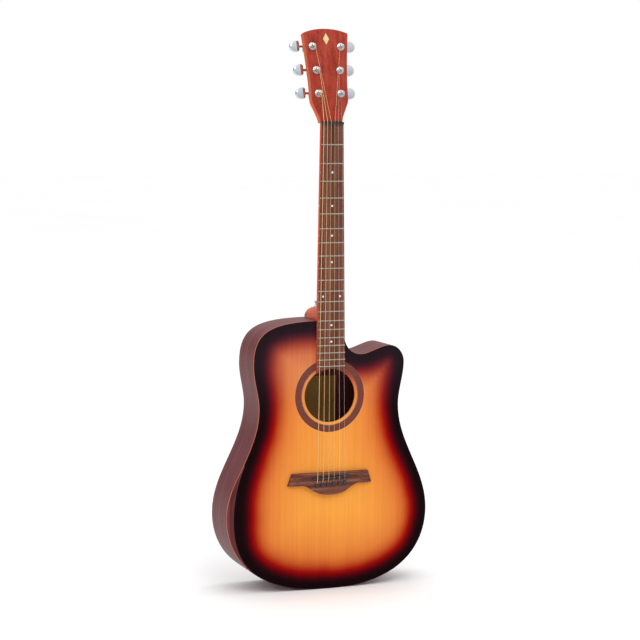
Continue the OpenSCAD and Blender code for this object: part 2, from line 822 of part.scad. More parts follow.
button_t = 8;
neck_r = 2.8;
module tuner_button(n) {
    color("#d5d8dc") seat() head_frame() at_tuner(n)
        scale_side(n) translate([0, gear_mid, shaft_rise]) difference() {
            union() {
                rotate([0, 90, 0]) translate([0, 0, collar_start])
                    cylinder(r = neck_r, h = button_start - collar_start + 1);
                button_blank();
            }
            rotate([0, 90, 0]) cylinder(r = shaft_r, h = shaft_end);
        }
}

// D-shaped button, flat towards the headstock and round outside
module button_blank() {
    start = button_start;
    span = button_len;
    half = button_w / 2;
    translate([0, button_t / 2, 0]) rotate([90, 0, 0]) linear_extrude(button_t)
        polygon(concat(
            bezier([[start, -half * 0.55], [start, -half * 0.9],
                    [start + 2, -half], [start + 6, -half]], 5),
            bezier([[start + 6, -half], [start + span * 0.75, -half],
                    [start + span, -half * 0.6], [start + span, 0]], 8),
            bezier([[start + span, 0], [start + span, half * 0.6],
                    [start + span * 0.75, half], [start + 6, half]], 8),
            bezier([[start + 6, half], [start + 2, half],
                    [start, half * 0.9], [start, half * 0.55]], 5),
            [[start, half * 0.55]]));
}

// ---- Strap button ----

strap_tilt = 4;
strap_y = heel_base - 10;
strap_screw_r = 1.8;
strap_screw_len = 16;
module strap_place() {
    translate([0, strap_y, body_len + heel_nose(strap_y) + slip])
        rotate([-strap_tilt, 0, 0]) children();
}

module strap_button() {
    color("#c9ccd0") seat() strap_place() rotate_extrude() difference() {
        polygon([[0, 0], [6.4, 0], [6.4, 1.6], [3.8, 4], [3.6, 7],
                 [6, 9.6], [6, 11], [4.6, 12], [0, 12]]);
        translate([-1, -1]) square([1 + strap_screw_r, 20]);
        polygon([[0, 10.4], [strap_screw_r, 10.4], [3.6, 12.1], [0, 12.1]]);
    }
}

module strap_screw() {
    color("#b8bcc2") seat() strap_place() rotate_extrude()
        polygon([[0, -strap_screw_len], [strap_screw_r, -strap_screw_len + 3], [strap_screw_r, 10.4],
                 [3.5, 12.1], [0, 12.1]]);
}

// ---- Bridge ----

module at_saddle(dz = 0) { translate([0, 0, saddle_z + dz]) rotate([0, slant, 0]) children(); }

module pin_holes() {
    for (k = [0 : string_count - 1]) at_pin(k) rod_y(pin_d / 2, -far, far);
}
module at_pin(k) {
    x = across(k, pin_spacing);
    translate([x, 0, pin_z + x * slant_rate]) children();
}

end_slope = 1.2;
module bridge_outline() {
    half = bridge_len / 2;
    shoulder_z = bridge_top_z - 22.6;
    polygon(concat([[-half + 8, bridge_top_z], [half - 8, bridge_top_z]],
        bezier([[half, shoulder_z], [half - 12, shoulder_z - end_slope],
                [half - 20, shoulder_z], [half - 27, shoulder_z]], 4),
        bezier([[half - 27, shoulder_z], [half - 44, shoulder_z],
                [half - 48, bridge_low_z], [0, bridge_low_z]], 14),
        bezier([[0, bridge_low_z], [48 - half, bridge_low_z],
                [44 - half, shoulder_z], [27 - half, shoulder_z]], 14),
        bezier([[27 - half, shoulder_z], [20 - half, shoulder_z],
                [12 - half, shoulder_z - end_slope], [-half, shoulder_z]], 4),
        [[-half, shoulder_z]]));
}

wing_t = 4;
module bridge() {
    half = bridge_len / 2;
    color("#7a4a3c") seat() difference() {
        intersection() {
            plate(-bridge_t, bridge_t) bridge_outline();
            // The wings thin out towards the ends
            linear_extrude(far) polygon([[-half, 0], [half, 0], [half, -wing_t],
                [half - 32, -bridge_t], [32 - half, -bridge_t], [-half, -wing_t]]);
        }
        at_saddle() translate([-saddle_len / 2 - slip, -bridge_t - 1, -saddle_t / 2 - slip / 4])
            cube([saddle_len + 2 * slip, saddle_slot + 1, saddle_t + slip / 2]);
        pin_holes();
    }
}

module saddle() {
    color("#20242b") seat() at_saddle() intersection() {
        translate([-saddle_len / 2, -saddle_h - 1, -saddle_t / 2])
            cube([saddle_len, saddle_h + 1 - bridge_t + saddle_slot, saddle_t]);
        translate([0, saddle_radius - saddle_h, -far / 2])
            cylinder(r = saddle_radius, h = far, $fn = 180);
    }
}

pin_head_r = 4;
pin_len = 24;
module bridge_pins() {
    r = pin_d / 2 - 0.03;
    color("#20242b") seat() for (k = [0 : string_count - 1]) at_pin(k) difference() {
        translate([0, -bridge_t, 0]) rotate([90, 0, 0]) rotate_extrude()
            polygon([[0, -pin_len], [r - 0.5, -pin_len + 1], [r, -pin_len + 5], [r, 0],
                     [pin_head_r, 0.05], [pin_head_r, 0.9], [3.3, 2.1], [1.9, 2.9], [0, 3.1]]);
        // Groove for the string on the side towards the saddle
        translate([-gauges[k] / 2 - slip, -far / 2, r - gauges[k] - 0.2])
            cube([gauges[k] + 2 * slip, far, 10]);
    }
}

// ---- Strings ----

function pin_point(k, y) = let (x = across(k, pin_spacing))
    [x, y, pin_z + x * slant_rate + pin_d / 2 - gauges[k] / 2 - 0.15];
function saddle_point(k) = let (x = across(k, saddle_spacing))
    [x, -saddle_h - slip / 2 - gauges[k] / 2 + x * x / (2 * saddle_radius),
     saddle_z + x * slant_rate];
function nut_point(k, dz) = [across(k, nut_spacing), nut_axis_y(k), nut_z + dz];
function wrap_point(k) = let (n = k + 1, spot = tuner_spot(n),
    r = post_r + coil_gap + 1.5 * gauges[k] + end_gap)
    head_point(tuner_side(n) * (spot[0] - r), coil_y, spot[1]);

// A round bar through points, with one eight-sided ring at each
function unit(v) = v / norm(v);
function tube_ring(points, i, r) = let (n = len(points) - 1,
    t = unit((i > 0 ? unit(points[i] - points[i - 1]) : [0, 0, 0])
        + (i < n ? unit(points[i + 1] - points[i]) : [0, 0, 0])),
    u = unit([1, 0, 0] - t * t[0]), v = cross(t, u))
    [for (a = [0 : 45 : 315]) points[i] + r * (u * cos(a) - v * sin(a))];

coil_gap = 0.1;
coil_y = -veneer_t - hole_out + 1.2;
end_gap = 0.02;
ball_r = 2;
ball_len = 4;
wound_count = 4;
module string(k) {
    r = gauges[k] / 2;
    turns = k < wound_count ? 3 : 5;
    ball = pin_point(k, top_t + plate_t + ball_r + slip) + [0, 0, ball_r + r + 0.3];
    bend = pin_point(k, top_t + plate_t + r);
    points = [ball + (ball_r + end_gap + r / 2) * unit(bend - ball), bend,
              pin_point(k, -bridge_t - r - slip), saddle_point(k),
              nut_point(k, 0), nut_point(k, nut_t), wrap_point(k)];
    color(k < wound_count ? "#d9a066" : "#d0d3d8") seat() {
        skin([for (i = [0 : len(points) - 1]) tube_ring(points, i, r)]);
        // Ball end below the bridge plate
        translate(ball) rotate([0, 90, 0])
            cylinder(r = ball_r, h = ball_len, center = true, $fn = 24);
        // Turns round the post
        head_frame() at_tuner(k + 1) translate([0, coil_y, 0]) rotate([90, 0, 0])
            rotate_extrude() translate([post_r + coil_gap, -r]) square([2 * r, 2 * r * turns]);
    }
}

module string_1() { string(0); }
module string_2() { string(1); }
module string_3() { string(2); }
module string_4() { string(3); }
module string_5() { string(4); }
module string_6() { string(5); }

soundboard();
back_plate();
side_bass();
side_treble();
end_graft();
binding_front();
arm_bevel();
rosette();
linings();
neck_block();
tail_block();
top_braces();
back_braces();
bridge_plate();
label();
neck();
headstock_veneer();
headstock_inlay();
heel_cap();
fretboard();
frets();
fret_markers();
nut();
truss_rod();
truss_rod_nut();
bridge();
saddle();
bridge_pins();
string_1();
string_2();
string_3();
string_4();
string_5();
string_6();
strap_button();
strap_screw();
tuner_housings();
tuner_bushings();
tuner_washers();
tuner_screws();
tuner_post(1);  // tuner_post_1
tuner_post(2);  // tuner_post_2
tuner_post(3);  // tuner_post_3
tuner_post(4);  // tuner_post_4
tuner_post(5);  // tuner_post_5
tuner_post(6);  // tuner_post_6
tuner_shaft(1);  // tuner_shaft_1
tuner_shaft(2);  // tuner_shaft_2
tuner_shaft(3);  // tuner_shaft_3
tuner_shaft(4);  // tuner_shaft_4
tuner_shaft(5);  // tuner_shaft_5
tuner_shaft(6);  // tuner_shaft_6
tuner_button(1);  // tuner_button_1
tuner_button(2);  // tuner_button_2
tuner_button(3);  // tuner_button_3
tuner_button(4);  // tuner_button_4
tuner_button(5);  // tuner_button_5
tuner_button(6);  // tuner_button_6
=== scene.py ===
# Steel-string acoustic guitar with a cutaway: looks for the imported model
import json
import math

import bpy
from mathutils import Matrix, Vector, kdtree

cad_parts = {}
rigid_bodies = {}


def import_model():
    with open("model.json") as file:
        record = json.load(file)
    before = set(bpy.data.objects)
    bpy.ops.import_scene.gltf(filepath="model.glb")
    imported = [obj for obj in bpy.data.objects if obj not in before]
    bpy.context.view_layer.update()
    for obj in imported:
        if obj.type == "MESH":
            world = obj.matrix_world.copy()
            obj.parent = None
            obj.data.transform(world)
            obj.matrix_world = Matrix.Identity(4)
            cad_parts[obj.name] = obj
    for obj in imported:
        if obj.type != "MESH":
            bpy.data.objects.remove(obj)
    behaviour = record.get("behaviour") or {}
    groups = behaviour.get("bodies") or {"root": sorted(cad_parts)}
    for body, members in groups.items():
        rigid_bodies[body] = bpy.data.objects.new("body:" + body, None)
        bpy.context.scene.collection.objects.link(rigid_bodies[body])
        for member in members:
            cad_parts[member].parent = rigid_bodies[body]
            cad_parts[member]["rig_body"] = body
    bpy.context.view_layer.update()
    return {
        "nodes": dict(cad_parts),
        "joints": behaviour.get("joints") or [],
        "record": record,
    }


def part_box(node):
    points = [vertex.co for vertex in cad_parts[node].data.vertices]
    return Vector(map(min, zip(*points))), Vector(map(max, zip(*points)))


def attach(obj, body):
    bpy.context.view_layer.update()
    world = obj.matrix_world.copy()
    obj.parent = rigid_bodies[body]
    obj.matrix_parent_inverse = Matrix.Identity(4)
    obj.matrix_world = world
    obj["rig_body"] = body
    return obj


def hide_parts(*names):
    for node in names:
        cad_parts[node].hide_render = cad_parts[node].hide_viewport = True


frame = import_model()
mm = 0.001
nodes = frame["nodes"]
slotOf = {part["node"]: part["material_slot"] for part in frame["record"]["subparts"]}
bodyOf = {node: nodes[node]["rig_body"] for node in nodes}
joints = {joint["name"]: joint for joint in frame["joints"]}
print("frame loaded:", len(nodes), "nodes")


# Helpers

joinWithin = 0.000002  # metres between corners that count as one
flatAngle = 0.6  # degrees; faces that meet flatter than this become one face before rounding
sharperBy = 4  # degrees past the smoothing angle, from which an edge is rounded


def selectOnly(piece):
    bpy.ops.object.select_all(action="DESELECT")
    piece.select_set(True)
    bpy.context.view_layer.objects.active = piece


def applyModifier(piece, kind, **settings):
    selectOnly(piece)
    modifier = piece.modifiers.new(kind, kind)
    for name, value in settings.items():
        setattr(modifier, name, value)
    bpy.ops.object.modifier_apply(modifier=modifier.name)


def weighLongEdges(piece, smooth, least):
    # Marks only the sharp edges longer than that many mm, so that small holes keep their edges
    selectOnly(piece)
    bpy.ops.object.mode_set(mode="EDIT")
    bpy.ops.mesh.select_mode(type="EDGE")
    bpy.ops.mesh.select_all(action="DESELECT")
    bpy.ops.mesh.edges_select_sharp(sharpness=math.radians(smooth))
    bpy.ops.object.mode_set(mode="OBJECT")
    mesh = piece.data
    weights = [0.0] * len(mesh.edges)
    for edge in mesh.edges:
        start, end = (mesh.vertices[i].co for i in edge.vertices)
        if edge.select and (end - start).length > least * mm:
            weights[edge.index] = 1.0
    mesh.attributes.new("bevel_weight_edge", "FLOAT", "EDGE").data.foreach_set("value", weights)


def copyNode(node, name, edge=0.0, steps=2, smooth=32, least=0):
    # A copy of a CAD node with its triangles joined, its edges rounded by that many mm and its curves smooth
    piece = bpy.data.objects.new(name, nodes[node].data.copy())
    bpy.context.scene.collection.objects.link(piece)
    piece.data.materials.clear()
    selectOnly(piece)
    bpy.ops.mesh.customdata_custom_splitnormals_clear()
    bpy.ops.object.mode_set(mode="EDIT")
    bpy.ops.mesh.select_all(action="SELECT")
    bpy.ops.mesh.remove_doubles(threshold=joinWithin)
    if edge:
        bpy.ops.mesh.dissolve_limited(angle_limit=math.radians(flatAngle))
    bpy.ops.object.mode_set(mode="OBJECT")
    if least:
        weighLongEdges(piece, smooth, least)
    if edge:
        applyModifier(piece, "BEVEL", width=edge * mm, segments=steps,
                      limit_method="WEIGHT" if least else "ANGLE",
                      angle_limit=math.radians(smooth + sharperBy), miter_outer="MITER_ARC")
    bpy.ops.object.shade_smooth_by_angle(angle=math.radians(smooth))
    return piece


def linear(code):
    # sRGB hex to linear colour
    parts = [int(code[i:i + 2], 16) / 255 for i in (1, 3, 5)]
    return [p / 12.92 if p <= 0.04045 else ((p + 0.055) / 1.055) ** 2.4 for p in parts] + [1]


def addNode(tree, kind, settings=None, inputs=None):
    # Adds a shader node, sets its properties and its inputs, and links those given as sockets
    node = tree.nodes.new("ShaderNode" + kind)
    for name, value in (settings or {}).items():
        if name == "stops":
            ramp = node.color_ramp.elements
            ramp.remove(ramp[1])
            for i, (place, colour) in enumerate(value):
                stop = ramp[0] if i == 0 else ramp.new(place)
                stop.position = place
                stop.color = linear(colour)
        else:
            setattr(node, name, value)
    for name, value in (inputs or {}).items():
        if isinstance(value, bpy.types.NodeSocket):
            tree.links.new(value, node.inputs[name])
        else:
            node.inputs[name].default_value = value
    return node


def startMaterial(name, **sockets):
    # A new material with constants on its shader's sockets
    made = bpy.data.materials.new(name)
    made.use_nodes = True
    shader = made.node_tree.nodes["Principled BSDF"]
    for socket, value in sockets.items():
        shader.inputs[socket.replace("_", " ")].default_value = value
    return made, made.node_tree, shader


def stretchedNoise(tree, along, width, run, detail=4):
    # Noise drawn out along one or two axes, its width and run in mm
    place = addNode(tree, "TexCoord").outputs["Object"]
    scale = [1 / (mm * (run if axis in along else width)) for axis in "xyz"]
    drawn = addNode(tree, "Mapping", {}, {"Vector": place, "Scale": scale})
    return addNode(tree, "TexNoise", {}, {
        "Vector": drawn.outputs["Vector"], "Scale": 1, "Detail": detail, "Roughness": 0.6,
    }).outputs["Fac"]


def addBump(tree, shader, height, depth, strength=1):
    # Relief of that depth in mm on a shader
    bump = addNode(tree, "Bump", {}, {"Height": height, "Distance": depth * mm, "Strength": strength})
    tree.links.new(bump.outputs["Normal"], shader.inputs["Normal"])


# Camera, floor and light

camera = {"focalLength": 108.76, "distance": 3.5703, "yaw": -20.807, "pitch": 5.636, "roll": 0.347,
          "aim": (-0.02025, -0.0488, 0.50635)}
studio = {
    "floorSize": 60, "floorTone": "#F4F4F4", "floorShade": "#F0F0F0", "floorCloud": 2000,
    "sky": 1.23, "horizon": 0.4, "fullSkyFrom": 0.6,
    "softboxes": [
        {"name": "frontSoftbox", "place": (-0.2, -2.4, 3.0), "aim": (0, 0, 0.4),
         "size": (1.6, 1.6), "power": 26},
        {"name": "topSoftbox", "place": (0.3, 0.2, 3.0), "aim": (0, 0, 0.4),
         "size": (1.2, 1.2), "power": 8},
    ],
}


def addCamera(look):
    yaw, pitch = math.radians(look["yaw"]), math.radians(look["pitch"])
    away = Vector((math.sin(yaw) * math.cos(pitch), -math.cos(yaw) * math.cos(pitch), math.sin(pitch)))
    data = bpy.data.cameras.new("camera")
    data.lens = look["focalLength"]
    seen = bpy.data.objects.new("camera", data)
    bpy.context.scene.collection.objects.link(seen)
    turned = (-away).to_track_quat("-Z", "Y").to_matrix().to_4x4()
    turned = turned @ Matrix.Rotation(math.radians(look["roll"]), 4, "Z")
    seen.matrix_world = Matrix.Translation(Vector(look["aim"]) + look["distance"] * away) @ turned
    bpy.context.scene.camera = seen


def addFloor(look):
    # Matt white paper sweep, wide enough to reach past every view
    bpy.ops.object.select_all(action="DESELECT")
    bpy.ops.mesh.primitive_grid_add(x_subdivisions=8, y_subdivisions=8, size=look["floorSize"])
    floor = bpy.context.object
    floor.name = "floor"
    made, tree, shader = startMaterial("mattPaperFloor", Roughness=0.9)
    tone = addNode(tree, "ValToRGB", {"stops": [(0, look["floorShade"]), (1, look["floorTone"])]},
                   {"Fac": stretchedNoise(tree, "", look["floorCloud"], look["floorCloud"])})
    tree.links.new(tone.outputs["Color"], shader.inputs["Base Color"])
    floor.data.materials.append(made)


def addSoftbox(name, place, aim, size, power):
    data = bpy.data.lights.new(name, "AREA")
    data.shape = "RECTANGLE"
    data.size, data.size_y = size
    data.energy = power
    lamp = bpy.data.objects.new(name, data)
    bpy.context.scene.collection.objects.link(lamp)
    place = Vector(place)
    turned = (Vector(aim) - place).to_track_quat("-Z", "Y").to_matrix().to_4x4()
    lamp.matrix_world = Matrix.Translation(place) @ turned


def addWorld(look):
    # White to the eye; what lights the object is a soft sky, brighter overhead than at the horizon
    world = bpy.data.worlds.new("studio")
    bpy.context.scene.world = world
    world.use_nodes = True
    tree = world.node_tree
    up = addNode(tree, "SeparateXYZ", {}, {"Vector": addNode(tree, "TexCoord").outputs["Generated"]})
    rise = addNode(tree, "MapRange", {}, {
        "Value": up.outputs["Z"], "From Min": 0.0, "From Max": look["fullSkyFrom"],
        "To Min": look["horizon"], "To Max": look["sky"]})
    eye = addNode(tree, "LightPath").outputs["Is Camera Ray"]
    shown = addNode(tree, "Math", {"operation": "MAXIMUM"}, {0: rise.outputs["Result"], 1: eye})
    tree.links.new(shown.outputs["Value"], tree.nodes["Background"].inputs["Strength"])
    tree.nodes["Background"].inputs["Color"].default_value = (1, 1, 1, 1)


addCamera(camera)
addFloor(studio)
addWorld(studio)
for softbox in studio["softboxes"]:
    addSoftbox(**softbox)
bpy.context.scene.view_settings.view_transform = "Standard"
print("camera, floor and lights")


# Woods

spruce = {
    "ringSpacing": 1.7, "ringRun": 260, "streakWidth": 11,
    "lower": [(0.05, "#110306"), (0.09, "#220308"), (0.13, "#430109"), (0.17, "#700006"),
              (0.215, "#950E08"), (0.26, "#B03814"), (0.31, "#C25A28"), (0.365, "#D26E31"),
              (0.43, "#DC7D38"), (0.54, "#E48A3E"), (0.72, "#EB9642"), (1.0, "#F1A145")],
    # upper: the same burst greyed and dulled, a painted sheen of light from above on the upper bout
    "upper": [(0.05, "#20171D"), (0.115, "#2C1720"), (0.16, "#421C25"), (0.20, "#5E2328"),
              (0.24, "#7A302D"), (0.28, "#943E32"), (0.32, "#AA4C38"), (0.37, "#BC6044"),
              (0.44, "#CA724C"), (0.57, "#D07C52"), (0.79, "#D48356"), (1.0, "#D68658")],
    "burstWidth": 140, "sheenFrom": 300, "sheenTo": 460, "cloudSize": 40, "cloudShare": 0.03,
    "layerStrength": 0.35, "ringDepth": 0.03, "bevelExtra": 9, "bevelMiddle": 141, "bevelReach": 130,
}


def lacqueredSpruce(look):
    # Quarter-sawn spruce under a sprayed satin sunburst: straight growth lines,
    # and a black rim that goes through red to amber; towards the upper bout a greyer, duller ramp takes over,
    # a painted sheen
    made, tree, shader = startMaterial("lacqueredSpruce", Roughness=0.38, Specular_IOR_Level=0.03)
    inside = addNode(tree, "Attribute", {"attribute_name": "rimDistance"}).outputs["Fac"]
    cloud = stretchedNoise(tree, "", look["cloudSize"], look["cloudSize"], 2)
    soft = addNode(tree, "Math", {"operation": "MULTIPLY_ADD"}, {0: cloud, 1: look["cloudShare"], 2: inside})
    share = addNode(tree, "Math", {"operation": "SUBTRACT"}, {
        0: soft.outputs["Value"], 1: look["cloudShare"] / 2})
    bursts = [
        addNode(tree, "ValToRGB", {"stops": look[part]}, {"Fac": share.outputs["Value"]}).outputs["Color"]
        for part in ("lower", "upper")]
    place = addNode(tree, "SeparateXYZ", {}, {"Vector": addNode(tree, "TexCoord").outputs["Object"]})
    # Painted sheen: higher up the top, the colour blends into the greyer upper ramp
    rise = addNode(tree, "MapRange", {"interpolation_type": "SMOOTHSTEP"}, {
        "Value": place.outputs["Z"], "From Min": look["sheenFrom"] * mm, "From Max": look["sheenTo"] * mm})
    burst = addNode(tree, "MixRGB", {}, {
        "Fac": rise.outputs["Result"], "Color1": bursts[0], "Color2": bursts[1]}).outputs["Color"]
    rings = stretchedNoise(tree, "z", look["ringSpacing"], look["ringRun"], 3)
    streaks = stretchedNoise(tree, "z", look["streakWidth"], 3 * look["ringRun"], 2)
    for layer, dark in ((rings, "#E4D6C4"), (streaks, "#FAF6F0")):
        tone = addNode(tree, "ValToRGB", {"stops": [(0.35, dark), (0.60, "#FFFFFF")]}, {"Fac": layer})
        burst = addNode(tree, "MixRGB", {"blend_type": "MULTIPLY"}, {
            "Fac": look["layerStrength"], "Color1": burst, "Color2": tone.outputs["Color"]}).outputs["Color"]
    tree.links.new(burst, shader.inputs["Base Color"])
    addBump(tree, shader, rings, look["ringDepth"])
    return made


def facing(tree, axis, least):
    # 1 on the faces that look along an axis of the piece, either way; least is the cosine from which they do
    normal = addNode(tree, "SeparateXYZ", {}, {"Vector": addNode(tree, "TexCoord").outputs["Normal"]})
    size = addNode(tree, "Math", {"operation": "ABSOLUTE"}, {0: normal.outputs[axis]})
    along = addNode(tree, "Math", {"operation": "GREATER_THAN"}, {0: size.outputs["Value"], 1: least})
    return along.outputs["Value"]


def stainWhere(tree, shader, mask, colour):
    # Another stain over the colour that the shader has, where the mask is 1
    first = shader.inputs["Base Color"].links[0].from_socket
    both = addNode(tree, "MixRGB", {}, {"Fac": mask, "Color1": first, "Color2": linear(colour)})
    tree.links.new(both.outputs["Color"], shader.inputs["Base Color"])


woodGrain = {
    "fineShare": 0.45, "broadShare": 0.55, "broadRun": 4, "poreWidth": 0.6, "poreRun": 0.12, "relief": 0.05,
}


def grainedWood(name, along, tones, fibre, run, roughness, pores=0.0, streak=9):
    # Wood with fine fibres and broad streaks along its grain, and short dark pores where it is open-pored
    made, tree, shader = startMaterial(name, Roughness=roughness, Specular_IOR_Level=0.06)
    fine = stretchedNoise(tree, along, fibre, run)
    broad = stretchedNoise(tree, along, streak * fibre, woodGrain["broadRun"] * run, 3)
    part = addNode(tree, "Math", {"operation": "MULTIPLY"}, {0: fine, 1: woodGrain["fineShare"]})
    both = addNode(tree, "Math", {"operation": "MULTIPLY_ADD"}, {
        0: broad, 1: woodGrain["broadShare"], 2: part.outputs["Value"]})
    dark, middle, light = tones
    colour = addNode(tree, "ValToRGB", {"stops": [(0.36, dark), (0.50, middle), (0.64, light)]},
                     {"Fac": both.outputs["Value"]}).outputs["Color"]
    height = fine
    if pores:
        pits = stretchedNoise(tree, along, woodGrain["poreWidth"] * fibre, woodGrain["poreRun"] * run, 2)
        mask = addNode(tree, "MapRange", {}, {"Value": pits, "From Min": 0.60, "From Max": 0.68})
        sunk = addNode(tree, "Math", {"operation": "MULTIPLY"}, {0: mask.outputs["Result"], 1: pores})
        colour = addNode(tree, "MixRGB", {}, {
            "Fac": sunk.outputs["Value"], "Color1": colour, "Color2": linear(dark)}).outputs["Color"]
        lowered = addNode(tree, "Math", {"operation": "SUBTRACT"}, {0: fine, 1: sunk.outputs["Value"]})
        height = lowered.outputs["Value"]
    tree.links.new(colour, shader.inputs["Base Color"])
    addBump(tree, shader, height, woodGrain["relief"])
    return made, tree, shader


bodyTones = ("#4A2224", "#693336", "#7A4548")


def satinLaminate(name, along):
    # Open-pored rosewood laminate under thin satin lacquer: fine dark streaks and a soft pale sheen
    return grainedWood(name, along, bodyTones, 1.3, 60, 0.36, pores=0.35, streak=3)[0]


rosewoodTones = ("#3C211B", "#6B3F33", "#8E5D4B")


def oiledRosewood(name, along):
    # Bare oiled rosewood: strong dark and light streaks, small pores, hardly any gloss
    return grainedWood(name, along, rosewoodTones, 0.9, 90, 0.5, pores=0.7, streak=5)


def oiledBoardWood(edgeStain="#C24E2A"):
    # The same bare oiled rosewood, its long edges stained orange-red with the neck
    made, tree, shader = oiledRosewood("oiledRosewoodBoard", "z")
    stainWhere(tree, shader, facing(tree, "X", 0.8), edgeStain)
    return made


def stainedMahogany():
    # Mahogany stained orange-red and sprayed satin: even colour with faint short fibres
    return grainedWood("stainedMahogany", "z", ("#B84A2A", "#D05E3A", "#DE7046"), 0.8, 40, 0.36, pores=0.3)[0]


def redwoodVeneer():
    # Red-brown veneer sprayed satin: long dark streaks on a warm ground
    return grainedWood("redwoodVeneer", "z", ("#7E281E", "#9C3A2C", "#AA4635"), 0.9, 60, 0.36, pores=0.4)[0]


def stainedTrim(burstRim="#1A090C", levelDepth=1.5):
    # Thin maple strip stained orange-brown; where it lies level with the top,
    # its front is under the dark burst
    made, tree, shader = grainedWood("stainedTrim", "xz", ("#A84C2A", "#C0603A", "#CC6E46"), 0.5, 30, 0.35)
    place = addNode(tree, "SeparateXYZ", {}, {"Vector": addNode(tree, "TexCoord").outputs["Object"]})
    level = addNode(tree, "Math", {"operation": "LESS_THAN"}, {
        0: place.outputs["Y"], 1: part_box("soundboard")[0].y + levelDepth * mm})
    front = addNode(tree, "Math", {"operation": "MULTIPLY"}, {
        0: facing(tree, "Y", 0.7), 1: level.outputs["Value"]})
    stainWhere(tree, shader, front.outputs["Value"], burstRim)
    return made


def bareSpruce():
    # Bare planed spruce and basswood inside the body: pale, dry and matt
    return grainedWood("bareSpruce", "z", ("#74583C", "#8C6C4A", "#A0825C"), 1.4, 120, 0.8)[0]


rosetteLook = {"inner": 55.3, "outer": 68.5, "line": 1.1}


def inlaidRosette(look):
    # Dark walnut ring let into the top between thin grey and black lines, under the same satin lacquer
    made, tree, shader = startMaterial("inlaidRosette", Roughness=0.38, Specular_IOR_Level=0.05)
    low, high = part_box("rosette")
    middle = (low + high) / 2
    centred = addNode(tree, "Mapping", {}, {
        "Vector": addNode(tree, "TexCoord").outputs["Object"], "Location": -middle})
    flat = addNode(tree, "VectorMath", {"operation": "MULTIPLY"}, {
        0: centred.outputs["Vector"], 1: (1, 0, 1)})
    radius = addNode(tree, "VectorMath", {"operation": "LENGTH"}, {0: flat.outputs["Vector"]})
    share = addNode(tree, "MapRange", {}, {
        "Value": radius.outputs["Value"], "From Min": look["inner"] * mm, "From Max": look["outer"] * mm})
    line = look["line"] / (look["outer"] - look["inner"])
    bands = addNode(tree, "ValToRGB", {"stops": [
        (0, "#2A2428"), (0.4 * line, "#8D8490"), (line, "#3A2622"), (1.3 * line, "#7C4438"),
        (1 - 1.3 * line, "#7C4438"), (1 - line, "#3A2622"), (1 - 0.4 * line, "#8D8490")]},
        {"Fac": share.outputs["Result"]})
    bands.color_ramp.interpolation = "CONSTANT"
    fibres = stretchedNoise(tree, "x", 0.8, 30)
    tone = addNode(tree, "ValToRGB", {"stops": [(0.35, "#A89890"), (0.6, "#FFFFFF")]}, {"Fac": fibres})
    mixed = addNode(tree, "MixRGB", {"blend_type": "MULTIPLY"}, {
        "Fac": 0.7, "Color1": bands.outputs["Color"], "Color2": tone.outputs["Color"]})
    tree.links.new(mixed.outputs["Color"], shader.inputs["Base Color"])
    addBump(tree, shader, fibres, 0.03)
    return made


# Metals, plastics and paper

def finished(name, tones, grain, depth, metallic=0.0, **sockets):
    # A material with faint cloudy variation of tone and relief, the size of its grain in mm
    made, tree, shader = startMaterial(name, Metallic=metallic, **sockets)
    cloud = stretchedNoise(tree, "", grain, grain, 5)
    tone = addNode(tree, "ValToRGB", {"stops": [(0.3, tones[0]), (0.7, tones[1])]}, {"Fac": cloud})
    tree.links.new(tone.outputs["Color"], shader.inputs["Base Color"])
    addBump(tree, shader, cloud, depth)
    return made


def polishedChrome():
    # Bright chrome plate on zinc castings: mirror-like, faintly uneven
    return finished("polishedChrome", ("#C0C8D0", "#CAD1D8"), 9, 0.002, 1.0, Roughness=0.07)


def nickelFretWire():
    # Nickel-silver fret wire, crowned and polished
    return finished("nickelFretWire", ("#969088", "#B0AAA0"), 2, 0.004, 1.0, Roughness=0.22)


def oiledSteel():
    # Plain machined steel with a thin film of oil
    return finished("oiledSteel", ("#6E6E72", "#8E8E92"), 1.5, 0.01, 1.0, Roughness=0.35)


def drawnSteelWire():
    # Plain drawn music wire: bright, smooth, grey
    return finished("drawnSteelWire", ("#D6CFC4", "#ECE4D8"), 1, 0.002, 1.0, Roughness=0.4)


waveSpacing = 0.314  # metres between the wave texture's bands at a scale of 1


def woundBronze(pitch=0.6):
    # Bronze wire wound round a steel core: ridges across the string, drawn a little coarser than real; the
    # grooves between the turns are darkened with painted shade
    made, tree, shader = startMaterial("woundBronze", Metallic=1.0, Roughness=0.45)
    wave = addNode(tree, "TexWave", {"bands_direction": "Z"}, {
        "Vector": addNode(tree, "TexCoord").outputs["Object"], "Scale": waveSpacing / (pitch * mm)})
    # Painted shade: the darker tone lies in the grooves, where the bump is lowest
    tone = addNode(tree, "ValToRGB", {"stops": [(0.1, "#D0A26C"), (0.6, "#F2D2A0")]},
                   {"Fac": wave.outputs["Fac"]})
    tree.links.new(tone.outputs["Color"], shader.inputs["Base Color"])
    addBump(tree, shader, wave.outputs["Fac"], 0.05)
    return made


def mouldedPlastic():
    # Black moulded plastic, lightly polished: soft highlights and fine moulding grain
    return finished("blackMouldedPlastic", ("#14171C", "#20242B"), 1.2, 0.002, Roughness=0.12, IOR=1.52)


def pearlPlastic():
    # Pearloid dots: pale with cool cloudy shimmer
    return finished("pearlPlastic", ("#C4CCD8", "#F0F2F6"), 1.1, 0.002, Roughness=0.18, IOR=1.53)


def creamInlay():
    # Cream plastic let into the veneer and levelled with the lacquer
    return finished("creamInlay", ("#CDB47C", "#DEC896"), 2, 0.004, Roughness=0.3, IOR=1.5)


def labelPaper():
    # Uncoated paper gone tan, with short fibres and no lettering
    return finished("labelPaper", ("#8E6428", "#A47A3C"), 1.6, 0.03, Roughness=0.85)


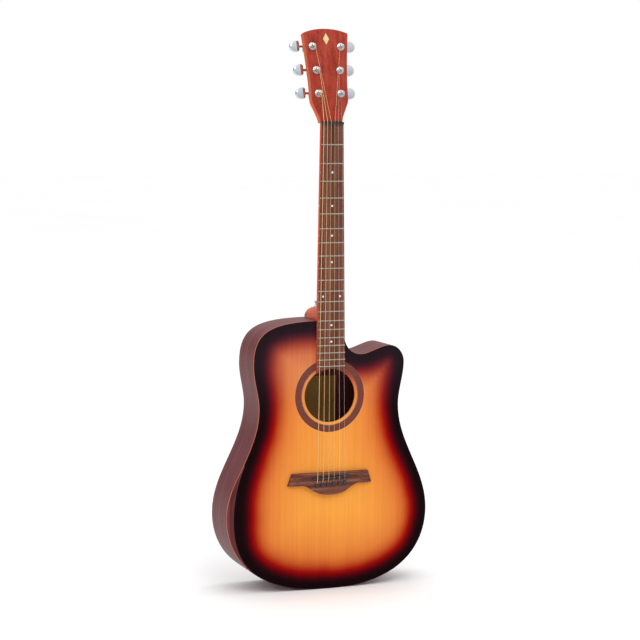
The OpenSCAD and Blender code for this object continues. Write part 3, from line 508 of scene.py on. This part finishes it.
finishes = {
    "spruce_top": lacqueredSpruce(spruce),
    "body_wood": satinLaminate("satinLaminateSides", "xz"),
    "trim_wood": stainedTrim(),
    "rosette_wood": inlaidRosette(rosetteLook),
    "inner_wood": bareSpruce(),
    "neck_wood": stainedMahogany(),
    "face_wood": redwoodVeneer(),
    "board_wood": oiledBoardWood(),
    "paper": labelPaper(),
    "pearl": pearlPlastic(),
    "cream_inlay": creamInlay(),
    "black_plastic": mouldedPlastic(),
    "fret_metal": nickelFretWire(),
    "bronze_wire": woundBronze(),
    "plain_wire": drawnSteelWire(),
    "chrome": polishedChrome(),
    "steel": oiledSteel(),
}
ownFinish = {
    "back_plate": satinLaminate("satinLaminateBack", "z"),
    "bridge": oiledRosewood("oiledRosewoodBridge", "x")[0],
}
print("materials")


def dress(piece, node):
    # Gives a new piece its finish, its body and its slot, and hides the CAD node that it stands for
    piece.data.materials.clear()
    piece.data.materials.append(ownFinish.get(node) or finishes[slotOf[node]])
    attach(piece, bodyOf[node])
    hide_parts(node)


# Body

top = {"gridStep": 8, "sampleStep": 1.0, "levelWithin": 0.1, "smooth": 30}


def rimTree(look):
    # Points along the binding and the bevel's upper edge, from which the sunburst's distance is measured
    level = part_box("soundboard")[0].y + look["levelWithin"] * mm
    points = []
    for node in ("binding_front", "arm_bevel"):
        strip = nodes[node].data
        for edge in strip.edges:
            start, end = (strip.vertices[i].co for i in edge.vertices)
            if node == "binding_front" or max(start.y, end.y) < level:
                count = max(1, int((end - start).length / (look["sampleStep"] * mm)))
                points += [start.lerp(end, i / count) for i in range(count)]
    tree = kdtree.KDTree(len(points))
    for i, point in enumerate(points):
        tree.insert((point.x, 0, point.z), i)
    tree.balance()
    return tree


def makeSoundboard(look, burst):
    # The top is cut into a fine grid, and each point knows how far it is from the rim
    piece = copyNode("soundboard", "soundboardLacquered")
    low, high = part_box("soundboard")
    selectOnly(piece)
    bpy.ops.object.mode_set(mode="EDIT")
    for axis in (0, 2):
        normal = [0, 0, 0]
        normal[axis] = 1
        place = low[axis] + look["gridStep"] * mm
        while place < high[axis]:
            spot = [0, 0, 0]
            spot[axis] = place
            bpy.ops.mesh.select_all(action="SELECT")
            bpy.ops.mesh.bisect(plane_co=spot, plane_no=normal)
            place += look["gridStep"] * mm
    bpy.ops.object.mode_set(mode="OBJECT")
    rim = rimTree(look)
    shares = []
    for v in piece.data.vertices:
        away = rim.find((v.co.x, 0, v.co.z))[2] / mm
        if v.co.x < 0:
            # The dark edge was sprayed wider beside the arm bevel
            near = max(0, 1 - abs(v.co.z / mm - burst["bevelMiddle"]) / burst["bevelReach"])
            away -= burst["bevelExtra"] * near
        shares.append(min(1, max(0, away / burst["burstWidth"])))
    inside = piece.data.attributes.new("rimDistance", "FLOAT", "POINT")
    inside.data.foreach_set("value", shares)
    bpy.ops.object.shade_smooth_by_angle(angle=math.radians(look["smooth"]))
    return piece


dress(makeSoundboard(top, spruce), "soundboard")
for node, name, edge in (
        ("side_bass", "sideBass", 0), ("side_treble", "sideTreble", 0), ("back_plate", "backPlate", 0.6),
        ("arm_bevel", "armBevel", 0), ("binding_front", "bindingStrip", 0.25),
        ("end_graft", "endGraft", 0), ("rosette", "rosetteRing", 0)):
    dress(copyNode(node, name, edge), node)
print("body")


# Neck and headstock

for node, name, edge in (
        ("neck", "neckShaft", 0.8), ("heel_cap", "heelCap", 0.5), ("fretboard", "fretboard", 0.3),
        ("frets", "fretCrowns", 0), ("fret_markers", "fretMarkers", 0), ("nut", "nutBlock", 0.3),
        ("headstock_veneer", "headstockFace", 0.35), ("headstock_inlay", "headstockInlay", 0)):
    dress(copyNode(node, name + "Piece", edge), node)
print("neck")


# Bridge

for node, name, edge in (
        ("bridge", "bridgeBlock", 0.7), ("saddle", "saddleBar", 0.5), ("bridge_pins", "bridgePinSet", 0)):
    dress(copyNode(node, name, edge, smooth=38), node)
print("bridge")


# Tuners and strap button

# Cast housings have well rounded long edges, and their holes stay sharp
dress(copyNode("tuner_housings", "gearHousings", 2.2, steps=4, least=5), "tuner_housings")
for node, name, edge in (
        ("tuner_bushings", "hexBushings", 0.3),
        ("tuner_washers", "postWashers", 0.35), ("tuner_screws", "earScrews", 0.3),
        ("strap_button", "strapButtonTurned", 0.3), ("strap_screw", "strapScrewTurned", 0)):
    dress(copyNode(node, name, edge, steps=3), node)
for n in range(1, 7):
    dress(copyNode(f"tuner_post_{n}", f"stringPost{n}", 0.45, 3), f"tuner_post_{n}")
    dress(copyNode(f"tuner_shaft_{n}", f"wormShaft{n}", 0.3), f"tuner_shaft_{n}")
    dress(copyNode(f"tuner_button_{n}", f"tunerButton{n}", 2.2, 4), f"tuner_button_{n}")
print("tuners")


# Strings

strings = {
    "gauges": (1.35, 1.07, 0.81, 0.61, 0.41, 0.30), "nutSpacing": 7.12, "saddleSpacing": 10.9,
    "pinSpacing": 11.1, "pinWidth": 5.2, "pinBack": 12.2, "pinGap": 0.15,
    "slant": 2.9, "scale": 650, "extra": 3,
    "boardCrown": 6.3, "boardRadius": 400, "fretCrown": 1.1, "action": 0.45, "saddleCrown": 11.65,
    "saddleRadius": 380, "bridgeTop": 8, "bridgeGap": 0.1, "ballDepth": 7.4, "nutLength": 5,
    "postRadius": 3, "coilGap": 0.1, "coilHeight": 7.7, "coilStart": 0.5, "turns": (3, 3, 3, 3, 5, 5),
    "pointsPerTurn": 24, "bendReach": 1.6, "bendSteps": 5, "roundness": 3, "smooth": 60,
}


def roundCorners(points, reach, steps):
    # Replaces each inner corner by a short curve
    rounded = [points[0]]
    for before, corner, after in zip(points, points[1:], points[2:]):
        start = corner + (before - corner).normalized() * min(reach, (before - corner).length / 2)
        end = corner + (after - corner).normalized() * min(reach, (after - corner).length / 2)
        for i in range(steps + 1):
            t = i / steps
            rounded.append(start.lerp(corner, t).lerp(corner.lerp(end, t), t))
    return rounded + [points[-1]]


def stringRoute(k, look):
    # From the ball end up through the bridge, over saddle and nut, and round the post
    gauge = look["gauges"][k]
    away = k - 2.5  # spacings from the middle of the six
    slope = math.tan(math.radians(look["slant"]))
    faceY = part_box("soundboard")[0].y / mm
    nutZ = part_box("nut")[0].z / mm
    saddleZ = nutZ - look["scale"] - look["extra"]
    atPin, atSaddle, atNut = (away * look[part] for part in ("pinSpacing", "saddleSpacing", "nutSpacing"))
    pinZ = saddleZ - look["pinBack"] + atPin * slope + look["pinWidth"] / 2 - gauge / 2 - look["pinGap"]
    crownY = faceY - look["saddleCrown"] - gauge / 2 + atSaddle ** 2 / (2 * look["saddleRadius"])
    nutY = (faceY - look["boardCrown"] - look["fretCrown"] - look["action"] - gauge / 2
            + atNut ** 2 / (2 * look["boardRadius"]))
    leaveY = faceY - look["bridgeTop"] - gauge / 2 - look["bridgeGap"]
    points = [Vector(p) for p in (
        (atPin, faceY + look["ballDepth"], pinZ), (atPin, leaveY, pinZ),
        (atSaddle, crownY, saddleZ + atSaddle * slope), (atNut, nutY, nutZ),
        (atNut, nutY, nutZ + look["nutLength"]))]
    joint = joints[f"post_{k + 1}_turn"]
    out = Vector(joint["axis"])
    upward = Vector((0, -out.z, -out.y))
    inward = Vector((-1 if joint["pos_m"][0] > 0 else 1, 0, 0))
    centre = Vector(joint["pos_m"]) / mm + look["coilHeight"] * out
    radius = look["postRadius"] + look["coilGap"] + gauge / 2
    points.append(centre + radius * inward - look["coilStart"] * upward)
    route = roundCorners(points, look["bendReach"], look["bendSteps"])
    turns, perTurn = look["turns"][k], look["pointsPerTurn"]
    for i in range(turns * perTurn - perTurn // 2):
        angle = 2 * math.pi * i / perTurn
        route.append(centre + radius * (inward * math.cos(angle) + upward * math.sin(angle))
                     + out * gauge * i / perTurn)
    return [mm * point for point in route]


def makeString(k, look):
    # A round wire along its route
    data = bpy.data.curves.new(f"string{k + 1}Wire", "CURVE")
    data.dimensions = "3D"
    data.bevel_depth = look["gauges"][k] / 2 * mm
    data.bevel_resolution = look["roundness"]
    data.use_fill_caps = True
    route = stringRoute(k, look)
    line = data.splines.new("POLY")
    line.points.add(len(route) - 1)
    for spot, place in zip(line.points, route):
        spot.co = (*place, 1)
    wire = bpy.data.objects.new(f"string{k + 1}Wire", data)
    bpy.context.scene.collection.objects.link(wire)
    selectOnly(wire)
    bpy.ops.object.convert(target="MESH")
    wire = bpy.context.object
    bpy.ops.object.shade_smooth_by_angle(angle=math.radians(look["smooth"]))
    return wire


for k in range(6):
    dress(makeString(k, strings), f"string_{k + 1}")
print("strings")


# CAD nodes that keep their own shape get their finish

for name, part in nodes.items():
    if not part.material_slots:
        part.data.materials.append(None)
    for slot in part.material_slots:
        slot.link = "OBJECT"
        slot.material = ownFinish.get(name) or finishes[slotOf[name]]
print("kept nodes")
